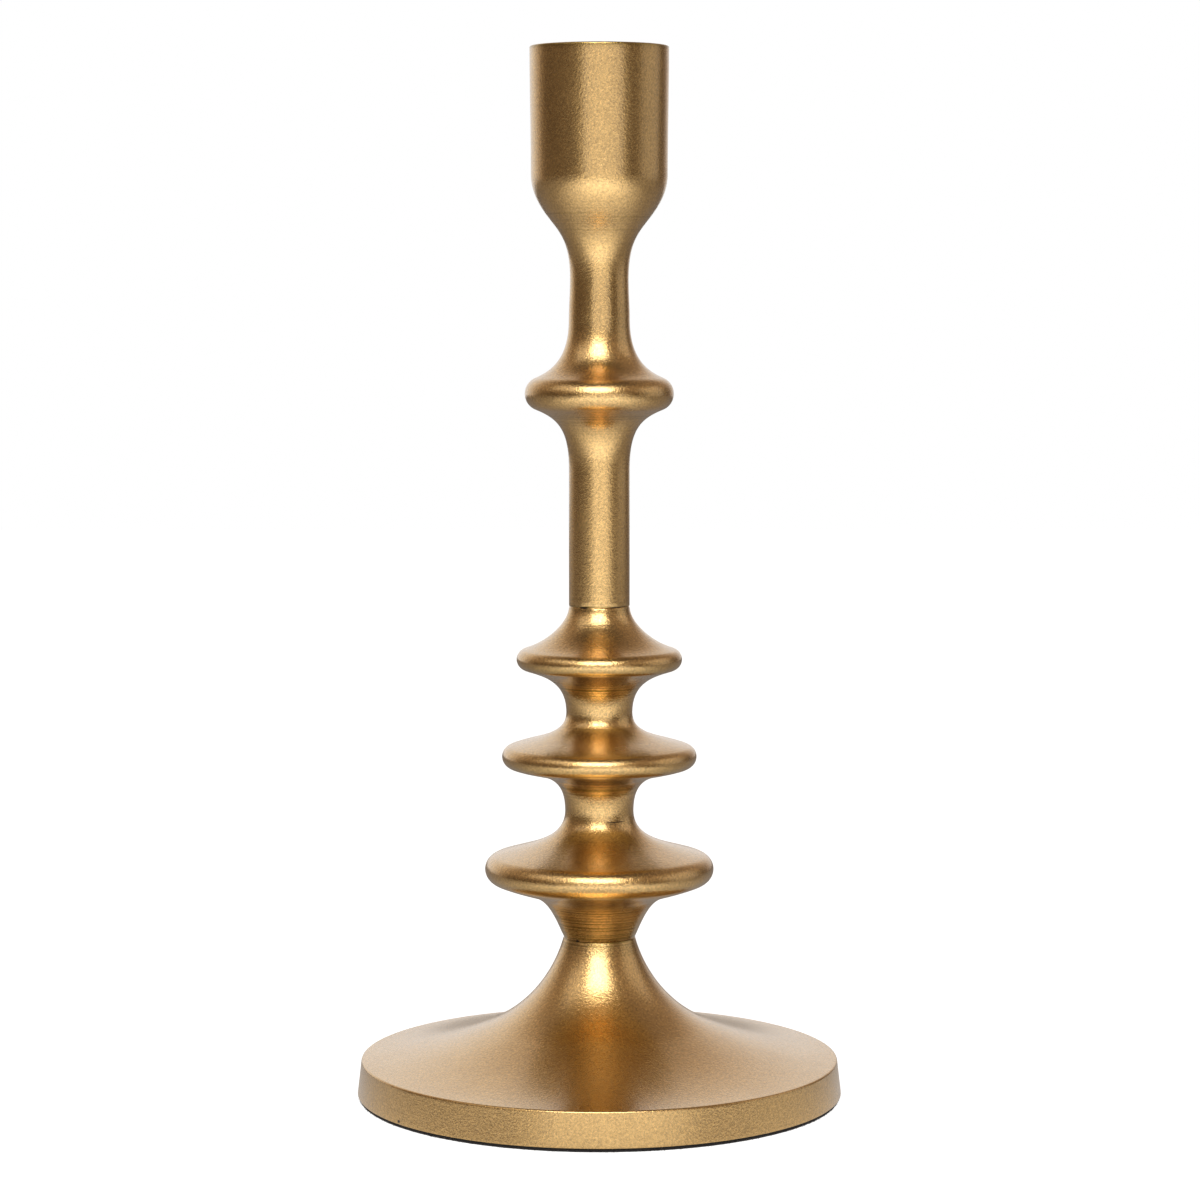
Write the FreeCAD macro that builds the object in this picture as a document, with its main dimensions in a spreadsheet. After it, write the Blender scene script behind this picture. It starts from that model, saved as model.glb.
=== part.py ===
import FreeCAD, Part
import Sketcher
import math
import os

# Cast metal candlestick for one taper candle, all of it turned round the upright axis Z.
# Three castings stand on each other: the foot, the stem with three discs, and the upper
# stem that ends in the cup. A threaded rod clamps them from inside, with its nut and
# washers in the hollow foot, and a felt pad closes the underside. Z = 0 is the table.

SIZES = {
    # candle and its socket
    "candle_diameter": 22.2,
    "candle_gap": 0.3,
    "socket_depth": 28.0,
    "socket_floor_round": 2.0,
    "socket_lead": 0.8,
    # upper casting, from its seam upwards
    "shank_radius": 7.5,
    "shank_length": 38.8,
    "ring_radius": 18.35,
    "ring_edge": 4.0,
    "ring_rise": 13.5,
    "ring_cove_share": 0.845,
    "throat_radius": 7.6,
    "throat_rise": 14.6,
    "waist_radius": 7.05,
    "waist_rise": 15.6,
    "cup_radius": 16.7,
    "cup_rise": 23.05,
    "waist_cove_share": 0.525,
    "cup_round_share": 0.385,
    "rim_radius": 17.05,
    "cup_side": 31.55,
    "rim_round": 0.5,
    # casting with the three discs, from its lower seam upwards
    "lower_seam_radius": 8.9,
    "flare_step": 1.05,
    "flare_rise": 1.2,
    "flare_cove_share": 0.6,
    "low_disc_radius": 28.55,
    "low_disc_edge": 3.8,
    "low_disc_rise": 17.65,
    "low_neck_radius": 8.3,
    "low_neck_share": 0.526,
    "middle_disc_radius": 24.2,
    "middle_disc_edge": 3.0,
    "middle_disc_rise": 27.95,
    "high_neck_radius": 8.0,
    "high_neck_share": 0.486,
    "high_disc_radius": 20.5,
    "high_disc_edge": 2.9,
    "high_disc_rise": 24.45,
    "neck_cove_share": 0.72,
    "bell_rise": 12.85,
    "bell_step": 0.55,
    "bell_drop": 0.3,
    "bell_cove_share": 0.83,
    # foot casting, from its lower rim upwards
    "foot_height": 39.0,
    "band_radius": 60.4,
    "brim_step": 1.0,
    "brim_height": 8.6,
    "brim_round": 0.5,
    "brim_sweep": 105.0,
    "trumpet_sweep": 34.0,
    "trumpet_toe": 13.8,
    "foot_wall": 4.0,
    "boss_height": 12.0,
    "seam_break": 0.25,
    # rod, nut and washers
    "rod_diameter": 6.0,
    "rod_gap": 0.3,
    "thread_gap": 0.05,
    "rod_grip": 18.0,
    "hole_spare": 2.0,
    "rod_tail": 2.0,
    "rod_chamfer": 0.8,
    "washer_diameter": 12.0,
    "washer_height": 1.6,
    "lock_washer_diameter": 11.8,
    "lock_washer_height": 1.6,
    "lock_washer_split": 1.0,
    "nut_width": 10.0,
    "nut_height": 5.0,
    "nut_face_share": 0.95,
    "nut_chamfer_angle": 30.0,
    # felt pad
    "felt_height": 1.0,
    "felt_inset": 0.5,
    # how far a cut runs past what it cuts
    "overrun": 1.0,
}

# Heights that more than one piece follows, each from the lower face of its own casting
RING_HEIGHT = "(Sizes.shank_length + Sizes.ring_rise)"
THROAT_HEIGHT = f"({RING_HEIGHT} + Sizes.throat_rise)"
WAIST_HEIGHT = f"({THROAT_HEIGHT} + Sizes.waist_rise)"
CUP_HEIGHT = f"({WAIST_HEIGHT} + Sizes.cup_rise)"
UPPER_LENGTH = f"({CUP_HEIGHT} + Sizes.cup_side)"
LOW_DISC_HEIGHT = "Sizes.low_disc_rise"
MIDDLE_DISC_HEIGHT = f"({LOW_DISC_HEIGHT} + Sizes.middle_disc_rise)"
HIGH_DISC_HEIGHT = f"({MIDDLE_DISC_HEIGHT} + Sizes.high_disc_rise)"
RING_STEM_LENGTH = f"({HIGH_DISC_HEIGHT} + Sizes.bell_rise)"

# Levels above the table
LOWER_SEAM = "(Sizes.felt_height + Sizes.foot_height)"
UPPER_SEAM = f"({LOWER_SEAM} + {RING_STEM_LENGTH})"
SEAT_LEVEL = f"({LOWER_SEAM} - Sizes.boss_height)"
WASHER_LEVEL = f"({SEAT_LEVEL} - Sizes.washer_height)"
LOCK_WASHER_LEVEL = f"({WASHER_LEVEL} - Sizes.lock_washer_height)"
NUT_LEVEL = f"({LOCK_WASHER_LEVEL} - Sizes.nut_height)"
ROD_LEVEL = f"({NUT_LEVEL} - Sizes.rod_tail)"

# Holes, each from what goes in it and its clearance, and the nut from its centre to a corner
SOCKET_RADIUS = "(Sizes.candle_diameter / 2 + Sizes.candle_gap)"
ROD_HOLE = "(Sizes.rod_diameter + 2 * Sizes.rod_gap)"
THREAD_HOLE = "(Sizes.rod_diameter + 2 * Sizes.thread_gap)"
NUT_REACH = "(Sizes.nut_width / sqrt(3))"

# The band of the foot leans in by a step to the edge of the brim
BRIM_RADIUS = "(Sizes.band_radius - Sizes.brim_step)"

UPWARDS = FreeCAD.Vector(0, 0, 1)
SAME = 1e-4    # two lengths closer than this are the same

doc = FreeCAD.newDocument("candlestick")
sheet = doc.addObject("Spreadsheet::Sheet", "Sizes")
for row, (alias, number) in enumerate(SIZES.items(), start=1):
    sheet.set(f"A{row}", str(number))
    sheet.setAlias(f"A{row}", alias)
doc.recompute()


def value(expression):
    """The number that an expression over the sheet gives."""
    return float(sheet.evalExpression(expression))


def point(x, y):
    return FreeCAD.Vector(x, y, 0)


def new_body(label, level=None):
    """A piece of its own; level is the height of its lower face above the table."""
    body = doc.addObject("PartDesign::Body", label)
    body.Label = label
    if level:
        body.setExpression("Placement.Base.z", level)
    return body


def new_sketch(body, name, plane="XZ_Plane"):
    sketch = body.newObject("Sketcher::SketchObject", name)
    support = next(item for item in body.Origin.OriginFeatures if item.Role == plane)
    sketch.AttachmentSupport = [(support, "")]
    sketch.MapMode = "FlatFace"
    return sketch


def tie(sketch, kind, where, expression):
    """A dimension of a sketch that follows the sheet."""
    index = sketch.addConstraint(Sketcher.Constraint(kind, *where, value(expression)))
    sketch.setExpression(f"Constraints[{index}]", expression)


def pin(sketch, geometry, end, across, up):
    """Holds a point of the sketch at a radius and a height; None means on that axis."""
    for kind, axis, expression in (("DistanceX", -2, across), ("DistanceY", -1, up)):
        if expression is None:
            sketch.addConstraint(Sketcher.Constraint("PointOnObject", geometry, end, axis))
        else:
            tie(sketch, kind, (-1, 1, geometry, end), expression)


def join(sketch, first, first_end, second, second_end):
    sketch.addConstraint(Sketcher.Constraint("Coincident", first, first_end, second, second_end))


def smooth(sketch, first, first_end, second, second_end):
    sketch.addConstraint(Sketcher.Constraint("Tangent", first, first_end, second, second_end))


def level_line(sketch, geometry):
    sketch.addConstraint(Sketcher.Constraint("Horizontal", geometry))


def upright_line(sketch, geometry):
    sketch.addConstraint(Sketcher.Constraint("Vertical", geometry))


def line(sketch, start, end):
    return sketch.addGeometry(Part.LineSegment(point(*start), point(*end)))


def arc(sketch, centre, radius, start_angle, end_angle):
    circle = Part.Circle(point(*centre), UPWARDS, radius)
    return sketch.addGeometry(Part.ArcOfCircle(circle, start_angle, end_angle))


# A turned outline is a chain of stations from the bottom up. A corner is a plain point, a
# bead is a rounded edge that stands out, and a cove is a hollow. A straight flank joins
# each station to the next and is tangent to both their rounds.

def corner(radius, height):
    return {"turn": 0, "radius": radius, "height": height, "round": "0"}


def bead(radius, height, edge):
    return {"turn": 1, "radius": radius, "height": height, "round": edge}


def cove(radius, height, hollow):
    return {"turn": -1, "radius": radius, "height": height, "round": hollow}


def centre_of(station):
    """How far from the axis the middle of a station's round lies."""
    if station["turn"] == 0:
        return station["radius"]
    sign = "-" if station["turn"] > 0 else "+"
    return f"({station['radius']} {sign} {station['round']})"


def flank(lower, upper):
    """The straight between two stations: its two ends and its heading."""
    across = [value(centre_of(station)) for station in (lower, upper)]
    up = [value(station["height"] or "0") for station in (lower, upper)]
    rounds = [station["turn"] * value(station["round"]) for station in (lower, upper)]
    run, rise = across[1] - across[0], up[1] - up[0]
    heading = math.atan2(rise, run) - math.asin((rounds[1] - rounds[0]) / math.hypot(run, rise))
    side = (math.sin(heading), -math.cos(heading))
    ends = [(across[i] + rounds[i] * side[0], up[i] + rounds[i] * side[1]) for i in (0, 1)]
    return ends, heading


def turned_chain(sketch, stations):
    """Draws the chain; gives its first and last flank, whose outer ends are corners."""
    flanks = [flank(*pair) for pair in zip(stations, stations[1:])]
    lines = [line(sketch, *ends) for ends, heading in flanks]
    pin(sketch, lines[0], 1, stations[0]["radius"], stations[0]["height"])
    for place, station in enumerate(stations[1:-1]):
        below, above = flanks[place][1], flanks[place + 1][1]
        reach, up = centre_of(station), station["height"]
        quarter = -station["turn"] * math.pi / 2
        angles = sorted((below + quarter, above + quarter))
        curve = arc(sketch, (value(reach), value(up)), value(station["round"]), *angles)
        start, end = (1, 2) if station["turn"] > 0 else (2, 1)
        smooth(sketch, lines[place], 2, curve, start)
        smooth(sketch, curve, end, lines[place + 1], 1)
        pin(sketch, curve, 3, reach, up)
        tie(sketch, "Radius", (curve,), station["round"])
    pin(sketch, lines[-1], 2, stations[-1]["radius"], stations[-1]["height"])
    return lines[0], lines[-1]


def turn(body, sketch, kind="PartDesign::Revolution", name="turned"):
    """Turns a closed outline right round the upright axis."""
    feature = body.newObject(kind, name)
    feature.Profile = sketch
    feature.ReferenceAxis = (sketch, ["V_Axis"])
    feature.Angle = 360
    doc.recompute()
    return feature


def round_edge(shape, height, radius):
    """Name of the level circular edge of this radius at this height of a piece."""
    for number, edge in enumerate(shape.Edges, start=1):
        curve = edge.Curve
        if not isinstance(curve, Part.Circle):
            continue
        if abs(curve.Center.z - height) < SAME and abs(curve.Radius - radius) < SAME:
            return f"Edge{number}"
    raise RuntimeError(f"no round edge of radius {radius} at height {height}")


def dress(body, base, kind, name, places, expression):
    """A fillet or chamfer on the round edges at some (height, radius) of a piece."""
    edges = [round_edge(base.Shape, value(height), value(radius)) for height, radius in places]
    feature = body.newObject(f"PartDesign::{kind}", name)
    feature.Base = (base, edges)
    feature.setExpression("Radius" if kind == "Fillet" else "Size", expression)
    doc.recompute()
    return feature


def bored_hole(body, name, diameter, depth):
    """A round hole up from the lower face; no depth means right through."""
    sketch = new_sketch(body, f"{name}_place", "XY_Plane")
    circle = sketch.addGeometry(Part.Circle(point(0, 0), UPWARDS, value(diameter) / 2))
    join(sketch, circle, 3, -1, 1)
    tie(sketch, "Diameter", (circle,), diameter)
    doc.recompute()
    hole = body.newObject("PartDesign::Hole", name)
    hole.Profile = sketch
    doc.recompute()
    hole.Threaded = False
    hole.setExpression("Diameter", diameter)
    hole.Reversed = True
    hole.DepthType = "Dimension" if depth else "ThroughAll"
    if depth:
        hole.setExpression("Depth", depth)
        hole.DrillPoint = "Angled"
    doc.recompute()
    return hole


def round_sketch(body, name, outer, inner=None):
    """A disc, or a ring when it has an inner diameter, about the axis."""
    sketch = new_sketch(body, name, "XY_Plane")
    for diameter in (outer, inner):
        if diameter:
            circle = Part.Circle(point(0, 0), UPWARDS, value(diameter) / 2)
            index = sketch.addGeometry(circle)
            join(sketch, index, 3, -1, 1)
            tie(sketch, "Diameter", (index,), diameter)
    return sketch


def pad(body, sketch, height, name="pad"):
    feature = body.newObject("PartDesign::Pad", name)
    feature.Profile = sketch
    feature.setExpression("Length", height)
    doc.recompute()
    return feature


def closed_on_axis(sketch, first, last):
    """Closes a chain over the axis, for a casting that is solid at its middle."""
    low = sketch.getPoint(first, 1)
    high = sketch.getPoint(last, 2)
    base = line(sketch, (0, low.y), (low.x, low.y))
    axis = line(sketch, (0, high.y), (0, low.y))
    crown = line(sketch, (high.x, high.y), (0, high.y))
    join(sketch, base, 2, first, 1)
    join(sketch, base, 1, axis, 2)
    join(sketch, axis, 1, crown, 2)
    join(sketch, crown, 1, last, 2)
    level_line(sketch, base)
    level_line(sketch, crown)
    sketch.addConstraint(Sketcher.Constraint("PointOnObject", axis, 1, -2))
    sketch.addConstraint(Sketcher.Constraint("PointOnObject", axis, 2, -2))


def cup_section(sketch):
    """Outside of the upper casting: shank, ring, waist and cup."""
    ring_cove = "(Sizes.ring_cove_share * (Sizes.ring_rise - Sizes.ring_edge))"
    throat_cove = "(Sizes.ring_cove_share * (Sizes.throat_rise - Sizes.ring_edge))"
    # Two rounds that meet with no straight between them fill this much in all
    step = "(Sizes.cup_radius - Sizes.waist_radius)"
    ogee = f"((Sizes.cup_rise ^ 2 + {step} ^ 2) / (2 * {step}))"
    return turned_chain(sketch, [
        corner("Sizes.shank_radius", None),
        cove("Sizes.shank_radius", "Sizes.shank_length", ring_cove),
        bead("Sizes.ring_radius", RING_HEIGHT, "Sizes.ring_edge"),
        cove("Sizes.throat_radius", THROAT_HEIGHT, throat_cove),
        cove("Sizes.waist_radius", WAIST_HEIGHT, f"(Sizes.waist_cove_share * {ogee})"),
        bead("Sizes.cup_radius", CUP_HEIGHT, f"(Sizes.cup_round_share * {ogee})"),
        corner("Sizes.rim_radius", UPPER_LENGTH),
    ])


def disc_section(sketch):
    """Outside of the middle casting: three discs, each on its hollow neck."""
    flare_room = "(Sizes.low_disc_rise - Sizes.low_disc_edge - Sizes.flare_rise)"
    low_room = "(Sizes.middle_disc_rise - Sizes.low_disc_edge - Sizes.middle_disc_edge)"
    high_room = "(Sizes.high_disc_rise - Sizes.middle_disc_edge - Sizes.high_disc_edge)"
    bell_room = "(Sizes.bell_rise - Sizes.bell_drop - Sizes.high_disc_edge)"
    return turned_chain(sketch, [
        corner("Sizes.lower_seam_radius", None),
        cove("(Sizes.lower_seam_radius + Sizes.flare_step)", "Sizes.flare_rise",
             f"(Sizes.flare_cove_share * {flare_room})"),
        bead("Sizes.low_disc_radius", LOW_DISC_HEIGHT, "Sizes.low_disc_edge"),
        cove("Sizes.low_neck_radius",
             f"({LOW_DISC_HEIGHT} + Sizes.low_neck_share * Sizes.middle_disc_rise)",
             f"(Sizes.neck_cove_share * {low_room} / 2)"),
        bead("Sizes.middle_disc_radius", MIDDLE_DISC_HEIGHT, "Sizes.middle_disc_edge"),
        cove("Sizes.high_neck_radius",
             f"({MIDDLE_DISC_HEIGHT} + Sizes.high_neck_share * Sizes.high_disc_rise)",
             f"(Sizes.neck_cove_share * {high_room} / 2)"),
        bead("Sizes.high_disc_radius", HIGH_DISC_HEIGHT, "Sizes.high_disc_edge"),
        cove("(Sizes.shank_radius + Sizes.bell_step)",
             f"({RING_STEM_LENGTH} - Sizes.bell_drop)",
             f"(Sizes.bell_cove_share * {bell_room})"),
        corner("Sizes.shank_radius", RING_STEM_LENGTH),
    ])


def foot_section(sketch):
    """Foot casting: a trumpet that sweeps into a wide brim, hollow below, even in wall."""
    height, seam = value("Sizes.foot_height"), value("Sizes.lower_seam_radius")
    brim, brim_height = value(BRIM_RADIUS), value("Sizes.brim_height")
    sweep, brim_sweep = value("Sizes.trumpet_sweep"), value("Sizes.brim_sweep")
    band, wall = value("Sizes.band_radius"), value("Sizes.foot_wall")
    hole, seat = value(ROD_HOLE) / 2, value("Sizes.foot_height - Sizes.boss_height")
    trumpet_up = value("Sizes.trumpet_toe + Sizes.trumpet_sweep")
    trumpet = (seam + math.sqrt(sweep ** 2 - (trumpet_up - height) ** 2), trumpet_up)
    # The brim's arc passes through its edge and runs on into the trumpet's arc
    run, rise = trumpet[0] - brim, trumpet[1] - brim_height
    apart, rest = math.hypot(run, rise), brim_sweep - sweep
    spread = math.acos((brim_sweep ** 2 + apart ** 2 - rest ** 2) / (2 * brim_sweep * apart))
    aim = math.atan2(rise, run) - spread
    dish = (brim + brim_sweep * math.cos(aim), brim_height + brim_sweep * math.sin(aim))
    meet = math.atan2(trumpet[1] - dish[1], trumpet[0] - dish[0])

    def on(centre, radius, angle):
        return (centre[0] + radius * math.cos(angle), centre[1] + radius * math.sin(angle))

    full = 2 * math.pi
    inner_wall = band - wall
    top_angle = math.atan2(height - trumpet[1], seam - trumpet[0]) % full
    edge_angle = math.atan2(brim_height - dish[1], brim - dish[0]) % full
    seat_angle = math.pi + math.asin((trumpet[1] - seat) / (sweep + wall))
    low_angle = full - math.acos((inner_wall - dish[0]) / (brim_sweep + wall))
    meet %= full
    inner_low = on(dish, brim_sweep + wall, low_angle)
    inner_high = on(trumpet, sweep + wall, seat_angle)

    side = line(sketch, (band, 0), (brim, brim_height))
    dish_arc = arc(sketch, dish, brim_sweep, meet, edge_angle)
    trumpet_arc = arc(sketch, trumpet, sweep, top_angle, meet)
    crown = line(sketch, (seam, height), (hole, height))
    hole_side = line(sketch, (hole, height), (hole, seat))
    seat_line = line(sketch, (hole, seat), inner_high)
    inner_trumpet = arc(sketch, trumpet, sweep + wall, seat_angle, meet)
    inner_dish = arc(sketch, dish, brim_sweep + wall, meet, low_angle)
    inner_side = line(sketch, inner_low, (inner_wall, 0))
    rim = line(sketch, (inner_wall, 0), (band, 0))

    pin(sketch, side, 1, "Sizes.band_radius", None)
    pin(sketch, side, 2, BRIM_RADIUS, "Sizes.brim_height")
    join(sketch, side, 2, dish_arc, 2)
    smooth(sketch, dish_arc, 1, trumpet_arc, 2)
    tie(sketch, "Radius", (dish_arc,), "Sizes.brim_sweep")
    tie(sketch, "Radius", (trumpet_arc,), "Sizes.trumpet_sweep")
    tie(sketch, "DistanceY", (-1, 1, trumpet_arc, 3), "Sizes.trumpet_toe + Sizes.trumpet_sweep")
    pin(sketch, trumpet_arc, 1, "Sizes.lower_seam_radius", "Sizes.foot_height")
    join(sketch, trumpet_arc, 1, crown, 1)
    level_line(sketch, crown)
    join(sketch, crown, 2, hole_side, 1)
    upright_line(sketch, hole_side)
    join(sketch, hole_side, 2, seat_line, 1)
    pin(sketch, seat_line, 1, f"{ROD_HOLE} / 2", "Sizes.foot_height - Sizes.boss_height")
    level_line(sketch, seat_line)
    join(sketch, seat_line, 2, inner_trumpet, 1)
    join(sketch, inner_trumpet, 3, trumpet_arc, 3)
    join(sketch, inner_dish, 3, dish_arc, 3)
    smooth(sketch, inner_trumpet, 2, inner_dish, 1)
    tie(sketch, "Radius", (inner_dish,), "Sizes.brim_sweep + Sizes.foot_wall")
    join(sketch, inner_dish, 2, inner_side, 1)
    upright_line(sketch, inner_side)
    join(sketch, inner_side, 2, rim, 1)
    level_line(sketch, rim)
    join(sketch, rim, 2, side, 1)
    tie(sketch, "Distance", (rim,), "Sizes.foot_wall")


def make_cup_stem():
    body = new_body("candle_cup_stem", UPPER_SEAM)
    section = new_sketch(body, "cup_section")
    first, last = cup_section(section)
    closed_on_axis(section, first, last)
    turn(body, section)

    socket = new_sketch(body, "socket_section")
    radius, top = value(SOCKET_RADIUS), value(UPPER_LENGTH)
    floor = value(f"{UPPER_LENGTH} - Sizes.socket_depth")
    soft, lead, past = (value(f"Sizes.{name}") for name in ("socket_floor_round", "socket_lead", "overrun"))
    base = line(socket, (0, floor), (radius - soft, floor))
    sweep = arc(socket, (radius - soft, floor + soft), soft, -math.pi / 2, 0)
    wall = line(socket, (radius, floor + soft), (radius, top - lead))
    mouth = line(socket, (radius, top - lead), (radius + lead + past, top + past))
    lid = line(socket, (radius + lead + past, top + past), (0, top + past))
    axis = line(socket, (0, top + past), (0, floor))
    pin(socket, base, 1, None, f"{UPPER_LENGTH} - Sizes.socket_depth")
    level_line(socket, base)
    smooth(socket, base, 2, sweep, 1)
    smooth(socket, sweep, 2, wall, 1)
    tie(socket, "Radius", (sweep,), "Sizes.socket_floor_round")
    upright_line(socket, wall)
    join(socket, wall, 2, mouth, 1)
    pin(socket, mouth, 1, SOCKET_RADIUS, f"{UPPER_LENGTH} - Sizes.socket_lead")
    join(socket, mouth, 2, lid, 1)
    pin(socket, mouth, 2, f"{SOCKET_RADIUS} + Sizes.socket_lead + Sizes.overrun",
        f"{UPPER_LENGTH} + Sizes.overrun")
    level_line(socket, lid)
    join(socket, lid, 2, axis, 1)
    join(socket, axis, 2, base, 1)
    upright_line(socket, axis)
    turn(body, socket, "PartDesign::Groove", "candle_socket")

    hole = bored_hole(body, "rod_hole", THREAD_HOLE, "Sizes.rod_grip + Sizes.hole_spare")
    rim = [(UPPER_LENGTH, "Sizes.rim_radius")]
    soft_rim = dress(body, hole, "Fillet", "rim_round", rim, "Sizes.rim_round")
    seam = [("0", "Sizes.shank_radius")]
    dress(body, soft_rim, "Chamfer", "seam_break", seam, "Sizes.seam_break")
    return body


def make_ring_stem():
    body = new_body("ring_stem", LOWER_SEAM)
    section = new_sketch(body, "disc_section")
    first, last = disc_section(section)
    closed_on_axis(section, first, last)
    turn(body, section)
    hole = bored_hole(body, "rod_hole", ROD_HOLE, None)
    seams = [("0", "Sizes.lower_seam_radius"), (RING_STEM_LENGTH, "Sizes.shank_radius")]
    dress(body, hole, "Chamfer", "seam_breaks", seams, "Sizes.seam_break")
    return body


def make_foot():
    body = new_body("foot", "Sizes.felt_height")
    section = new_sketch(body, "foot_section")
    foot_section(section)
    turned = turn(body, section)
    brim = [("Sizes.brim_height", BRIM_RADIUS)]
    soft = dress(body, turned, "Fillet", "brim_round", brim, "Sizes.brim_round")
    breaks = [("Sizes.foot_height", "Sizes.lower_seam_radius"), ("0", "Sizes.band_radius")]
    dress(body, soft, "Chamfer", "edge_breaks", breaks, "Sizes.seam_break")
    return body


def make_rod():
    """Rod from under the nut up into the upper casting, its thread drawn plain."""
    body = new_body("tie_rod", ROD_LEVEL)
    length = f"{UPPER_SEAM} + Sizes.rod_grip - {ROD_LEVEL}"
    rod = pad(body, round_sketch(body, "rod_section", "Sizes.rod_diameter"), length)
    ends = [("0", "Sizes.rod_diameter / 2"), (length, "Sizes.rod_diameter / 2")]
    dress(body, rod, "Chamfer", "end_chamfers", ends, "Sizes.rod_chamfer")
    return body


def make_washer():
    body = new_body("flat_washer", WASHER_LEVEL)
    sketch = round_sketch(body, "washer_section", "Sizes.washer_diameter", ROD_HOLE)
    pad(body, sketch, "Sizes.washer_height")
    return body


def make_lock_washer():
    """Split ring, pressed flat by the nut, cut on a slant."""
    body = new_body("spring_washer", LOCK_WASHER_LEVEL)
    outer, height = "Sizes.lock_washer_diameter", "Sizes.lock_washer_height"
    pad(body, round_sketch(body, "ring_section", outer, ROD_HOLE), height)
    slit = new_sketch(body, "slit_section")
    half, past = value("Sizes.lock_washer_split") / 2, value("Sizes.overrun")
    top = value(height)
    low = line(slit, (-half - top - past, -past), (half - top - past, -past))
    right = line(slit, (half - top - past, -past), (half + past, top + past))
    high = line(slit, (half + past, top + past), (past - half, top + past))
    left = line(slit, (past - half, top + past), (-half - top - past, -past))
    for first, second in ((low, right), (right, high), (high, left), (left, low)):
        join(slit, first, 2, second, 1)
    split, slant = "Sizes.lock_washer_split", "(Sizes.lock_washer_height + Sizes.overrun)"
    level_line(slit, low)
    level_line(slit, high)
    slit.addConstraint(Sketcher.Constraint("Equal", low, high))
    tie(slit, "Distance", (low,), split)
    pin(slit, high, 1, f"{split} / 2 + Sizes.overrun", f"{height} + Sizes.overrun")
    pin(slit, low, 2, f"{split} / 2 - {slant}", "-Sizes.overrun")
    pocket = body.newObject("PartDesign::Pocket", "slit")
    pocket.Profile = slit
    pocket.setExpression("Length", outer)
    doc.recompute()
    return body


def make_nut():
    """Hexagon nut with both faces chamfered to the round."""
    body = new_body("hex_nut", NUT_LEVEL)
    sketch = new_sketch(body, "hexagon", "XY_Plane")
    reach = value(NUT_REACH)
    turns = [math.radians(60 * i) for i in range(6)]
    tips = [(reach * math.cos(angle), reach * math.sin(angle)) for angle in turns]
    sides = [line(sketch, tips[i], tips[(i + 1) % 6]) for i in range(6)]
    circle = Part.Circle(point(0, 0), UPWARDS, reach)
    ring = sketch.addGeometry(circle, True)
    join(sketch, ring, 3, -1, 1)
    for i, side in enumerate(sides):
        join(sketch, side, 2, sides[(i + 1) % 6], 1)
        sketch.addConstraint(Sketcher.Constraint("PointOnObject", side, 1, ring))
        if i:
            sketch.addConstraint(Sketcher.Constraint("Equal", sides[0], side))
    sketch.addConstraint(Sketcher.Constraint("PointOnObject", sides[0], 1, -1))
    tie(sketch, "Radius", (ring,), NUT_REACH)
    hole = sketch.addGeometry(Part.Circle(point(0, 0), UPWARDS, value(THREAD_HOLE) / 2))
    join(sketch, hole, 3, -1, 1)
    tie(sketch, "Diameter", (hole,), THREAD_HOLE)
    pad(body, sketch, "Sizes.nut_height")

    corners = new_sketch(body, "corner_section")
    face = "(Sizes.nut_face_share * Sizes.nut_width / 2)"
    far = f"({NUT_REACH} + Sizes.overrun)"
    drop = f"({far} - {face}) * tan(Sizes.nut_chamfer_angle)"
    for level, inward in (("0", drop), ("Sizes.nut_height", f"Sizes.nut_height - {drop}")):
        spots = [(face, level), (far, level), (far, inward)]
        places = [(value(across), value(up)) for across, up in spots]
        edges = [line(corners, places[i], places[(i + 1) % 3]) for i in range(3)]
        for i, edge in enumerate(edges):
            join(corners, edge, 2, edges[(i + 1) % 3], 1)
            across, up = spots[i]
            pin(corners, edge, 1, across, None if up == "0" else up)
    turn(body, corners, "PartDesign::Groove", "face_chamfers")
    return body


def make_felt():
    body = new_body("felt_pad")
    disc = round_sketch(body, "felt_section", "2 * (Sizes.band_radius - Sizes.felt_inset)")
    pad(body, disc, "Sizes.felt_height")
    return body


pieces = [make_cup_stem(), make_ring_stem(), make_foot(), make_rod(), make_washer(),
          make_lock_washer(), make_nut(), make_felt()]
doc.recompute()

for item in doc.Objects:
    if "Invalid" in item.State or "Error" in item.State:
        raise RuntimeError(f"{item.Label} failed: {item.State}")

os.makedirs("parts", exist_ok=True)
for body in pieces:
    shape = body.Shape
    if shape.isNull() or not shape.isValid() or len(shape.Solids) != 1:
        raise RuntimeError(f"{body.Label} is not one sound solid")
    box = shape.optimalBoundingBox(False, False)
    print(f"{body.Label}: {shape.Volume:.1f} mm3, {box.XLength:.2f} mm across,"
          f" z {box.ZMin:.2f} to {box.ZMax:.2f}")
for body in pieces:
    body.Shape.exportStep(f"parts/{body.Label}.step")
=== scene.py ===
import math
import bpy
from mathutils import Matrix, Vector


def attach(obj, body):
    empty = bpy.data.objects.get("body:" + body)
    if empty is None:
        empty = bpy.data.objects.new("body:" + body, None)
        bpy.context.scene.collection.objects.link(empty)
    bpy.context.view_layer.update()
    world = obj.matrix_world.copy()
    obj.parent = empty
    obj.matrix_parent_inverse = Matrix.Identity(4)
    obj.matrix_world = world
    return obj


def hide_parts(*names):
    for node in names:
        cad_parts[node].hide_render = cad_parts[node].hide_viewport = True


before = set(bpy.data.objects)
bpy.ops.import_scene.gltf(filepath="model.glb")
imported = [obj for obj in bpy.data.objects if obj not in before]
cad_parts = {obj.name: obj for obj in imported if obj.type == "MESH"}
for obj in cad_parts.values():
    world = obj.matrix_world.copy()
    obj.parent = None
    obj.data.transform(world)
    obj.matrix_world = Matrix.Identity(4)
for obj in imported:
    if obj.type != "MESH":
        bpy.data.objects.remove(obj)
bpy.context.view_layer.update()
scene = bpy.context.scene
mm = 0.001
print("frame loaded:", len(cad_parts), "solids")


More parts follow.
